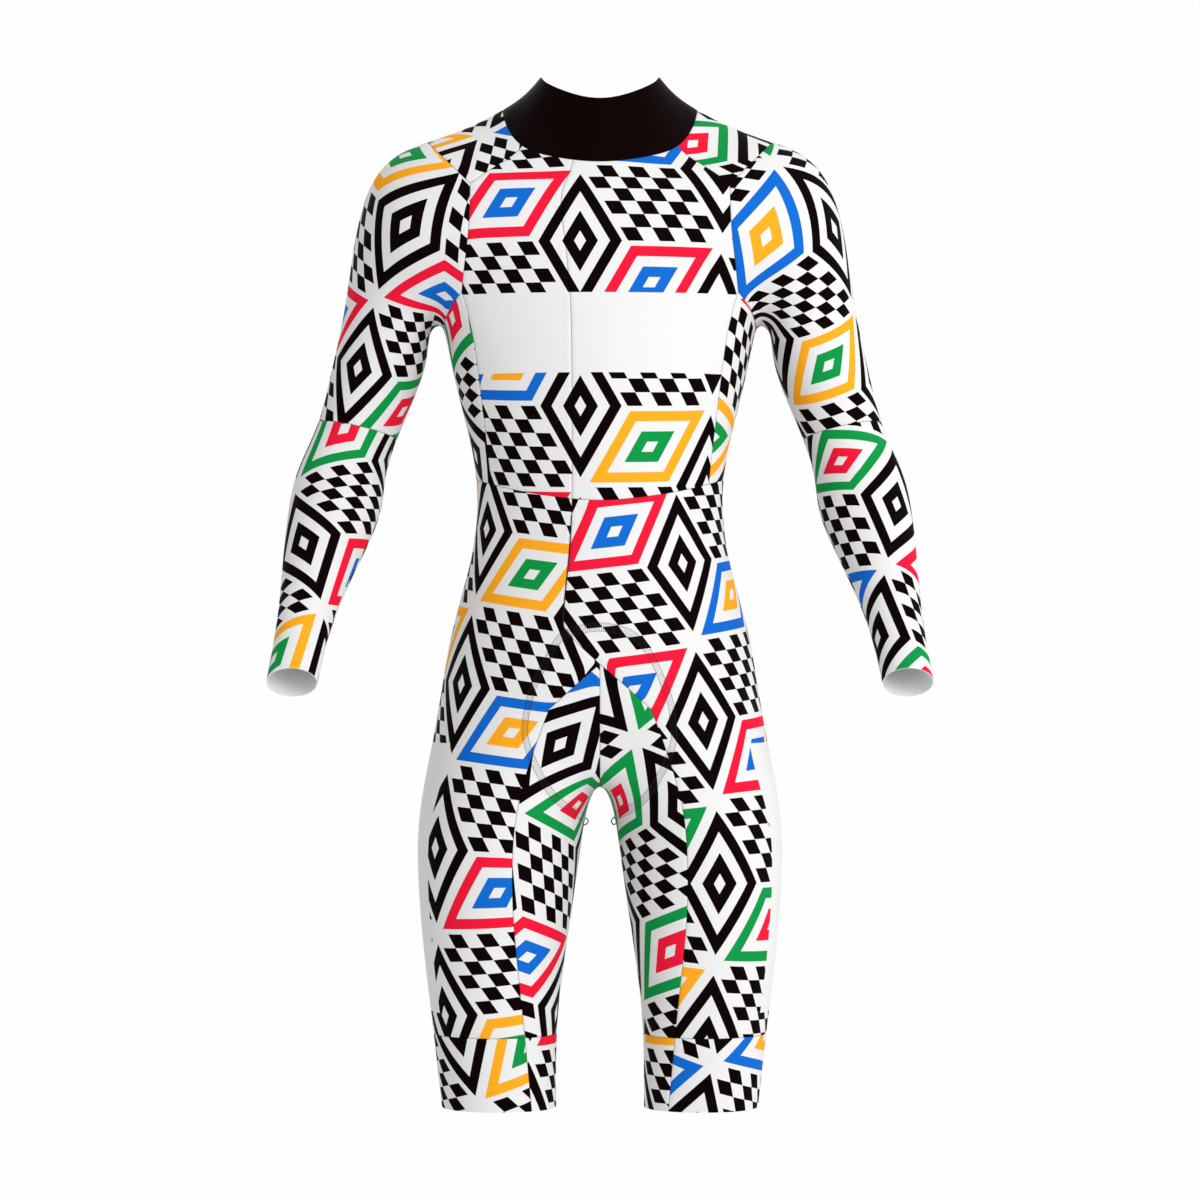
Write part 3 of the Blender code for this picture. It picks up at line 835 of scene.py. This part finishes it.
def printed_knit(name, bare=None, roughness=0.58):
    """Smooth stretch knit with the print on it. bare gives 1 where the cloth stays white."""
    shades = bpy.context.scene.suit_print
    board = Board(name)
    place = board.print_place()
    ink, inked = block_print(board, place, shades)
    if bare is not None:
        inked = board.times(inked, board.minus(1.0, bare(board)))
    speck = board.noise(place, 900.0, 3.0)
    cloth = board.lit(board.mix(inked, colour(shades.white), ink), board.spread(speck, 0.84, 1.12))
    # The base colour carries painted shade along every seam.
    board.feed(board.shader.inputs["Base Color"], painted_seam_shade(board, cloth))
    board.feed(board.shader.inputs["Normal"], knit_relief(board, place, True))
    return board.finish(board.uneven(speck, roughness, 0.12), 0.004, 0.35)


def plain_knit(name, hue, roughness, sheen, seams=True):
    """Undyed or piece-dyed knit of one colour, a little uneven."""
    board = Board(name)
    place = board.print_place()
    patch = board.noise(place, 60.0, 3.0)
    speck = board.noise(place, 1100.0, 2.0)
    share = board.plus(board.times(patch, 0.4), board.times(speck, 0.6))
    board.base(share, lighter(hue, 0.86), lighter(hue, 1.14))
    board.feed(board.shader.inputs["Normal"], knit_relief(board, place, seams))
    return board.finish(board.uneven(speck, roughness, 0.1), sheen, 0.4)


def thread_cloth(name, hue, roughness, scale):
    """Thread, tape or brushed facing, seen from its place on the suit."""
    board = Board(name)
    speck = board.noise(board.object_place(), scale, 3.0)
    board.base(speck, lighter(hue, 0.75), lighter(hue, 1.25))
    board.feed(board.shader.inputs["Normal"], board.bump(speck, 0.4, 0.0003))
    return board.finish(board.uneven(speck, roughness, 0.1), 0.2, 0.5)


def seat_pad(skin):
    """The foam pad inside the crotch: the skin within its outline, moved in and given a crown."""
    only(skin)
    bpy.ops.object.duplicate()
    pad = call(bpy.context.object, "seat_pad_foam")
    pad.data.materials.clear()
    for mirror in (1.0, -1.0):
        for start, end in zip(PAD_OUTLINE, PAD_OUTLINE[1:]):
            edit_all(pad)
            bpy.ops.mesh.bisect(
                plane_co=(mirror * start[0], 0.0, start[1]),
                plane_no=(mirror * (start[1] - end[1]), 0.0, end[0] - start[0]),
                clear_outer=True,
            )
            close_edit()
    with reworked(pad.data) as work:
        kept = set(max(face_runs(work), key=len))
        rest = [face for face in work.faces if face not in kept]
        bmesh.ops.delete(work, geom=rest, context="FACES")
        rim = [vert for vert in work.verts if vert.is_boundary]
        tree = KDTree(len(rim))
        for number, vert in enumerate(rim):
            tree.insert(vert.co, number)
        tree.balance()
        gaps = [tree.find(vert.co)[2] for vert in work.verts]
    crown = pad.vertex_groups.new(name="crown")
    for number, gap in enumerate(gaps):
        share = min(1.0, gap / PAD_FEATHER)
        crown.add([number], share * share * (3.0 - 2.0 * share), "REPLACE")
    inward = pad.modifiers.new("inward", "DISPLACE")
    inward.mid_level = 0.0
    inward.strength = -PAD_DEPTH
    foam = pad.modifiers.new("foam", "SOLIDIFY")
    foam.thickness = PAD_MIDDLE
    foam.offset = -1.0
    foam.vertex_group = crown.name
    foam.thickness_vertex_group = PAD_EDGE / PAD_MIDDLE
    apply_modifiers(pad)
    shade_smooth(pad, 60.0)
    return pad


def smooth_run(points, step):
    """Even places on the smooth curve through a list of points."""
    points = [Vector(point) for point in points]
    ends = [2.0 * points[0] - points[1], *points, 2.0 * points[-1] - points[-2]]
    fine = []
    for a, b, c, d in zip(ends, ends[1:], ends[2:], ends[3:]):
        for part in range(12):
            t = part / 12.0
            fine.append(0.5 * (2.0 * b + (c - a) * t + (2.0 * a - 5.0 * b + 4.0 * c - d) * t * t
                               + (3.0 * b - a - 3.0 * c + d) * t * t * t))
    fine.append(points[-1])
    gone = [0.0]
    for first, second in zip(fine, fine[1:]):
        gone.append(gone[-1] + (second - first).length)
    count = max(2, round(gone[-1] / step))
    places = []
    number = 0
    for part in range(count + 1):
        want = gone[-1] * part / count
        while number < len(gone) - 2 and gone[number + 1] < want:
            number += 1
        share = (want - gone[number]) / max(1e-9, gone[number + 1] - gone[number])
        places.append(fine[number].lerp(fine[number + 1], min(1.0, share)))
    return places


def ladder_threads(points, lands):
    """The two rails and the rungs of a stitched ladder along a line drawn in the front view.
    lands gives the place on the skin under a place in that view."""
    run = smooth_run(points, RUNG_STEP)
    rails = ([], [])
    for number, place in enumerate(run):
        along = heading(run, number)
        width = LADDER_WIDTH + LADDER_TOP_WIDER * along.x * along.x
        beside = Vector((-along.y, along.x)) * 0.5 * width
        for rail, way in zip(rails, (1.0, -1.0)):
            rail.append(place + way * beside)
    threads = [[lands(place) for place in rail] for rail in rails]
    for first, second in zip(*rails):
        threads.append([lands(first.lerp(second, share)) for share in (0.0, 0.5, 1.0)])
    return threads


def pad_stitching(skin):
    """Grey thread ladders that hold the pad, on the knit's outside, in front and behind."""
    tree = BVHTree.FromObject(skin, bpy.context.evaluated_depsgraph_get())
    eye = Vector((0.0, -CAMERA_DISTANCE, CAMERA_HEIGHT))

    def landed(start, target):
        place, normal, _, _ = tree.ray_cast(start, (target - start).normalized())
        if place is None:
            place, normal, _, _ = tree.find_nearest(target)
        return place + 0.6 * THREAD * normal

    def in_front(flat):
        return landed(eye, Vector((flat.x, 0.0, flat.y)))

    def behind(flat):
        return landed(Vector((flat.x, 1.0, flat.y)), Vector((flat.x, 0.0, flat.y)))

    front = ladder_threads(LADDER_FRONT, in_front)
    loops = []
    for end, hanging in LOOSE_LOOPS:
        low, high = front[0][end], front[1][end]
        middle = 0.5 * (low.y + high.y)
        free = [eye + (Vector((x, 0.0, z)) - eye) * (middle - eye.y) / -eye.y for x, z in hanging]
        loops.append(smooth_run([low, *free, high], 0.0006))
    back = [(-x, z) for x, z in LADDER_BACK] + [(x, z) for x, z in reversed(LADDER_BACK[:-1])]
    loose = threads_piece("loose_loops", loops, LOOSE_THREAD)
    stitching = threads_piece("pad_stitching", front + ladder_threads(back, behind), THREAD)
    only(stitching, loose)
    bpy.ops.object.join()
    return bpy.context.object


def threads_piece(name, threads, half):
    """Round threads along runs of places, as one piece."""
    curve = bpy.data.curves.new(name, "CURVE")
    curve.dimensions = "3D"
    curve.bevel_depth = half
    curve.bevel_resolution = 1
    curve.use_fill_caps = True
    for thread in threads:
        spline = curve.splines.new("POLY")
        spline.points.add(len(thread) - 1)
        for point, place in zip(spline.points, thread):
            point.co = (*place, 1.0)
    piece = bpy.data.objects.new(name, curve)
    bpy.context.scene.collection.objects.link(piece)
    only(piece)
    bpy.ops.object.convert(target="MESH")
    piece = bpy.context.object
    piece.data.name = name
    bpy.ops.object.shade_smooth()
    return piece


def zip_line(skin, foot_z):
    """Places down the front line that the left and right panels share, from the collar down."""
    pairs = ({"front_left", "front_right"}, {"leg_left", "leg_right"})
    work = bmesh.new()
    work.from_mesh(skin.data)
    found = {}
    for edge in work.edges:
        nodes = {node_of(skin, face) for face in edge.link_faces}
        if nodes in pairs:
            for vert in edge.verts:
                if vert.co.y < 0.0 and vert.co.z > foot_z:
                    found[vert.index] = vert.co.copy()
    work.free()
    return sorted(found.values(), key=lambda place: -place.z)


def zip_tape(tree, line):
    """The woven tape under a line on the skin, and the places down its middle."""
    shares = (-1.0, -0.5, 0.0, 0.5, 1.0)
    rows = []
    for number, place in enumerate(line):
        across = heading(line, number).cross(tree.find_nearest(place)[1]).normalized()
        row = []
        for share in shares:
            spot, facing, _, _ = tree.find_nearest(place + share * TAPE_HALF_WIDTH * across)
            row.append(spot - TAPE_DEPTH * facing)
        rows.append(row)
    only()
    bpy.ops.mesh.primitive_grid_add(x_subdivisions=len(shares) - 1, y_subdivisions=len(rows) - 1)
    tape = call(bpy.context.object, "zip_tape_weave")
    for vert, spot in zip(tape.data.vertices, [spot for row in rows for spot in row]):
        vert.co = spot
    edit_all(tape)
    bpy.ops.mesh.normals_make_consistent(inside=False)
    close_edit()
    if tape.data.polygons[0].normal.y > 0.0:
        edit_all(tape)
        bpy.ops.mesh.flip_normals()
        close_edit()
    weave = tape.modifiers.new("weave", "SOLIDIFY")
    weave.thickness = TAPE_THICK
    weave.offset = -1.0
    apply_modifiers(tape)
    shade_smooth(tape, 40.0)
    return tape, [row[2] for row in rows]


def zip_teeth(tree, run):
    """Small bevelled teeth along the tape, by turns to its left and right."""
    only()
    bpy.ops.mesh.primitive_cube_add(size=1.0)
    tooth = bpy.context.object
    tooth.scale = TOOTH
    bpy.ops.object.transform_apply(location=False, rotation=False, scale=True)
    edit_all(tooth)
    bpy.ops.mesh.bevel(offset=TOOTH_BEVEL, segments=1, affect="EDGES")
    close_edit()
    work = bmesh.new()
    for number, place in enumerate(run):
        before = len(work.verts)
        work.from_mesh(tooth.data)
        work.verts.ensure_lookup_table()
        along = heading(run, number)
        normal = tree.find_nearest(place)[1]
        across = along.cross(normal).normalized()
        inward = place - (TAPE_THICK + 0.5 * TOOTH[2]) * normal
        side = TOOTH_SHIFT if number % 2 else -TOOTH_SHIFT
        for vert in work.verts[before:]:
            co = vert.co.copy()
            vert.co = inward + (co.x + side) * across + co.y * along + co.z * normal
    bmesh.ops.recalc_face_normals(work, faces=work.faces)
    work.to_mesh(tooth.data)
    work.free()
    return call(tooth, "zip_teeth")


def zip_pieces(skin):
    """The concealed zip inside the front: its woven tape, its row of small teeth and its edge."""
    tree = BVHTree.FromObject(skin, bpy.context.evaluated_depsgraph_get())
    tape, middle = zip_tape(tree, zip_line(skin, ZIP_FOOT_Z))
    teeth = zip_teeth(tree, smooth_run(middle, TOOTH_STEP))
    edge = [place for place in zip_line(skin, ZIP_EDGE[0]) if place.z < ZIP_EDGE[1]]
    places = [tree.find_nearest(place)[0] for place in smooth_run(edge, 0.003)]
    return tape, teeth, threads_piece("zip_edge", [places], ZIP_EDGE_HALF)


def finish_knit(node, face):
    wall = bpy.context.scene.suit_knit.wall
    return finish_sheet(node, face, bpy.data.materials["knit_inside"], wall)


def moulded_teeth():
    """Black nylon, with a faint unevenness in its gloss."""
    board = Board("zip_teeth_nylon")
    speck = board.noise(board.object_place(), 1500.0)
    board.base(speck, (0.010, 0.010, 0.011), (0.022, 0.022, 0.024))
    return board.finish(board.uneven(speck, 0.375, 0.15), gloss=0.5)


def only_floor(height):
    """A pale round floor."""
    only()
    bpy.ops.mesh.primitive_circle_add(
        vertices=96, radius=4.0, fill_type="NGON", location=(0.0, 0.0, height)
    )
    floor = bpy.context.object
    floor.name = "floor"
    bpy.ops.object.transform_apply(location=True)
    board = Board("floor_pale")
    speck = board.noise(board.object_place(), 3.0)
    board.base(speck, (0.80, 0.80, 0.80), (0.84, 0.84, 0.84))
    floor.data.materials.append(board.finish(0.8))


def soft_light(lamp, power):
    light = bpy.data.lights.new(lamp.name, "AREA")
    light.shape = "DISK"
    light.size = lamp.size
    light.energy = power
    held = bpy.data.objects.new(lamp.name, light)
    held.location = lamp.place
    held.rotation_euler = [math.radians(angle) for angle in lamp.turn]
    bpy.context.scene.collection.objects.link(held)


def side_lit_room(shade, full):
    """A white room whose light is weaker from the suit's right."""
    room = bpy.data.worlds.new("studio")
    room.use_nodes = True
    tree = room.node_tree
    sky = tree.nodes["Background"]
    sky.inputs["Color"].default_value = colour((1.0, 1.0, 1.0))
    way = tree.nodes.new("ShaderNodeTexCoord")
    toward = tree.nodes.new("ShaderNodeVectorMath")
    toward.operation = "DOT_PRODUCT"
    toward.inputs[1].default_value = LIT_WAY
    light = tree.nodes.new("ShaderNodeMapRange")
    light.interpolation_type = "SMOOTHSTEP"
    set_range(light, LIT_FROM, LIT_TO, shade, full)
    tree.links.new(way.outputs["Generated"], toward.inputs[0])
    tree.links.new(toward.outputs["Value"], light.inputs[0])
    tree.links.new(light.outputs[0], sky.inputs["Strength"])
    return room


class SuitPrint(bpy.types.PropertyGroup):
    """The generic block print."""

    tile: bpy.props.FloatProperty(
        name="Tile", description="Height of one lozenge of the print", default=0.084, unit="LENGTH"
    )
    white: bpy.props.FloatVectorProperty(
        name="White", description="Bare cloth", subtype="COLOR", default=(0.735, 0.735, 0.73)
    )
    black: bpy.props.FloatVectorProperty(
        name="Black", description="Black ink", subtype="COLOR", default=(0.0038, 0.0009, 0.0011)
    )
    blue: bpy.props.FloatVectorProperty(
        name="Blue", description="Blue ink", subtype="COLOR", default=(0.006, 0.130, 0.560)
    )
    orange: bpy.props.FloatVectorProperty(
        name="Orange", description="Orange ink", subtype="COLOR", default=(0.900, 0.370, 0.015)
    )
    green: bpy.props.FloatVectorProperty(
        name="Green", description="Green ink", subtype="COLOR", default=(0.005, 0.270, 0.055)
    )
    red: bpy.props.FloatVectorProperty(
        name="Red", description="Red ink", subtype="COLOR", default=(0.800, 0.010, 0.040)
    )


class SuitKnit(bpy.types.PropertyGroup):
    """The knit and how it is sewn."""

    wall: bpy.props.FloatProperty(
        name="Knit", description="Thickness of the printed knit", default=0.0008, unit="LENGTH"
    )
    collar_wall: bpy.props.FloatProperty(
        name="Collar", description="Thickness of the doubled collar", default=0.0016, unit="LENGTH"
    )
    seam_roll: bpy.props.FloatProperty(
        name="Seam roll", description="How far a sewn edge turns in", default=0.00035, unit="LENGTH"
    )
    lining: bpy.props.FloatVectorProperty(
        name="Inside", description="Unprinted back of the knit", subtype="COLOR",
        default=(0.84, 0.84, 0.845),
    )
    collar: bpy.props.FloatVectorProperty(
        name="Collar colour", description="Black dyed knit", subtype="COLOR",
        default=(0.0036, 0.0006, 0.0006),
    )
    thread: bpy.props.FloatVectorProperty(
        name="Thread", description="Thread that holds the pad", subtype="COLOR",
        default=(0.012, 0.012, 0.013),
    )


class SuitStage(bpy.types.PropertyGroup):
    """The studio."""

    floor: bpy.props.FloatProperty(
        name="Floor", description="Height of the floor", default=-1.75, unit="LENGTH"
    )
    room: bpy.props.FloatProperty(
        name="Room light", description="Strength of the even light all round", default=0.99
    )
    shade: bpy.props.FloatProperty(
        name="Shade", description="Strength of the room's light from the suit's right", default=0.58
    )
    key: bpy.props.FloatProperty(
        name="Key light", description="Power of the light in front", default=74.0, unit="POWER"
    )
    fill: bpy.props.FloatProperty(
        name="Back light", description="Power of the light behind", default=20.0, unit="POWER"
    )


class SUIT_OT_skin(bpy.types.Operator):
    """Join, unwrap, round and crease the suit's skin"""

    bl_idname = "suit.skin"
    bl_label = "Skin"

    def execute(self, context):
        skin = sewn_skin()
        mark_cuts(skin)
        lay_on_roll(skin)
        round_out(skin)
        press_creases(skin)
        return {"FINISHED"}


class SUIT_OT_zip(bpy.types.Operator):
    """Build the concealed zip behind the front line"""

    bl_idname = "suit.zip"
    bl_label = "Concealed zip"

    def execute(self, context):
        tape, teeth, edge = zip_pieces(bpy.data.objects[SKIN])
        weave = thread_cloth("zip_tape_black", (0.006, 0.005, 0.006), 0.7, 900.0)
        tape.data.materials.append(weave)
        edge.data.materials.append(weave)
        teeth.data.materials.append(moulded_teeth())
        for piece in (tape, teeth, edge):
            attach(piece, BODY)
        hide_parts("zip_tape")
        return {"FINISHED"}


class SUIT_OT_seat_pad(bpy.types.Operator):
    """Build the foam pad inside the crotch"""

    bl_idname = "suit.seat_pad"
    bl_label = "Seat pad"

    def execute(self, context):
        pad = seat_pad(bpy.data.objects[SKIN])
        pad.data.materials.append(thread_cloth("pad_foam_grey", (0.20, 0.20, 0.21), 0.85, 400.0))
        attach(pad, BODY)
        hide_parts("seat_pad")
        return {"FINISHED"}


class SUIT_OT_pad_stitching(bpy.types.Operator):
    """Sew the ladder of thread round the pad"""

    bl_idname = "suit.pad_stitching"
    bl_label = "Pad stitching"

    def execute(self, context):
        stitching = pad_stitching(bpy.data.objects[SKIN])
        hue = context.scene.suit_knit.thread
        stitching.data.materials.append(thread_cloth("pad_thread", hue, 0.7, 2500.0))
        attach(stitching, BODY)
        return {"FINISHED"}


class SUIT_OT_part(bpy.types.Operator):
    """Part the skin along its seams into the sewn pieces"""

    bl_idname = "suit.part"
    bl_label = "Part at the seams"

    def execute(self, context):
        part_skin(bpy.data.objects[SKIN])
        plain_knit("knit_inside", context.scene.suit_knit.lining, 0.8, 0.0, seams=False)
        return {"FINISHED"}


class SUIT_OT_collar(bpy.types.Operator):
    """Finish the plain doubled collar"""

    bl_idname = "suit.collar"
    bl_label = "Collar"

    def execute(self, context):
        knit = context.scene.suit_knit
        face = plain_knit("collar_black", knit.collar, 0.45, 0.008)
        inside = plain_knit("collar_inside", knit.collar, 0.7, 0.008, seams=False)
        finish_sheet(COLLAR[0], face, inside, knit.collar_wall)
        return {"FINISHED"}


class SUIT_OT_body_panels(bpy.types.Operator):
    """Finish the fronts, back, sides and yokes"""

    bl_idname = "suit.body_panels"
    bl_label = "Body panels"

    def execute(self, context):
        chest = printed_knit("knit_print_front", bare=chest_bare)
        plain = printed_knit("knit_print_body")
        for node in BODY_PANELS:
            finish_knit(node, chest if node in FRONTS else plain)
        return {"FINISHED"}


class SUIT_OT_sleeves(bpy.types.Operator):
    """Finish the sleeves"""

    bl_idname = "suit.sleeves"
    bl_label = "Sleeves"

    def execute(self, context):
        face = printed_knit("knit_print_sleeve", roughness=0.62)
        for node in SLEEVES:
            finish_knit(node, face)
        return {"FINISHED"}


class SUIT_OT_legs(bpy.types.Operator):
    """Finish the legs and their gripper bands"""

    bl_idname = "suit.legs"
    bl_label = "Legs"

    def execute(self, context):
        outer = printed_knit("knit_print_leg", bare=leg_bare)
        plain = printed_knit("knit_print_inner_leg")
        band = printed_knit("knit_print_band", roughness=0.66)
        for node in LEGS:
            finish_knit(node, outer)
        for node in INNER_LEGS:
            finish_knit(node, plain)
        for node in BANDS:
            finish_knit(node, band)
        return {"FINISHED"}


class SUIT_OT_stage(bpy.types.Operator):
    """Set the floor, the light and the camera"""

    bl_idname = "suit.stage"
    bl_label = "Studio"

    def execute(self, context):
        settings = context.scene.suit_stage
        only_floor(settings.floor)
        context.scene.world = side_lit_room(settings.shade, settings.room)
        for lamp in LAMPS:
            soft_light(lamp, getattr(settings, lamp.setting))
        context.scene.view_settings.view_transform = "Standard"
        lens = bpy.data.cameras.new("camera")
        lens.sensor_width = SENSOR
        lens.lens = SENSOR * CAMERA_DISTANCE / VIEW_WIDTH
        camera = bpy.data.objects.new("camera", lens)
        camera.location = (0.0, -CAMERA_DISTANCE, CAMERA_HEIGHT)
        camera.rotation_euler = (math.radians(90.0), 0.0, 0.0)
        context.scene.collection.objects.link(camera)
        context.scene.camera = camera
        return {"FINISHED"}


SETTINGS = (("suit_print", SuitPrint), ("suit_knit", SuitKnit), ("suit_stage", SuitStage))
STEPS = (
    SUIT_OT_skin,
    SUIT_OT_zip,
    SUIT_OT_seat_pad,
    SUIT_OT_pad_stitching,
    SUIT_OT_part,
    SUIT_OT_collar,
    SUIT_OT_body_panels,
    SUIT_OT_sleeves,
    SUIT_OT_legs,
    SUIT_OT_stage,
)


class SUIT_PT_panel(bpy.types.Panel):
    """Sizes, colours and steps of the speed suit"""

    bl_idname = "SUIT_PT_panel"
    bl_label = "Speed suit"
    bl_space_type = "VIEW_3D"
    bl_region_type = "UI"
    bl_category = "Speed suit"

    def draw(self, context):
        for key, group in SETTINGS:
            box = self.layout.box()
            for name in group.__annotations__:
                box.prop(getattr(context.scene, key), name)
        for step in STEPS:
            self.layout.operator(step.bl_idname)


def register():
    for key, group in SETTINGS:
        bpy.utils.register_class(group)
        setattr(bpy.types.Scene, key, bpy.props.PointerProperty(type=group))
    for step in STEPS:
        bpy.utils.register_class(step)
    bpy.utils.register_class(SUIT_PT_panel)


def unregister():
    bpy.utils.unregister_class(SUIT_PT_panel)
    for step in reversed(STEPS):
        bpy.utils.unregister_class(step)
    for key, group in reversed(SETTINGS):
        delattr(bpy.types.Scene, key)
        bpy.utils.unregister_class(group)


def main():
    register()
    bpy.ops.suit.skin()
    bpy.ops.suit.zip()
    bpy.ops.suit.seat_pad()
    bpy.ops.suit.pad_stitching()
    bpy.ops.suit.part()
    bpy.ops.suit.collar()
    bpy.ops.suit.body_panels()
    bpy.ops.suit.sleeves()
    bpy.ops.suit.legs()
    bpy.ops.suit.stage()


if __name__ == "__main__":
    main()
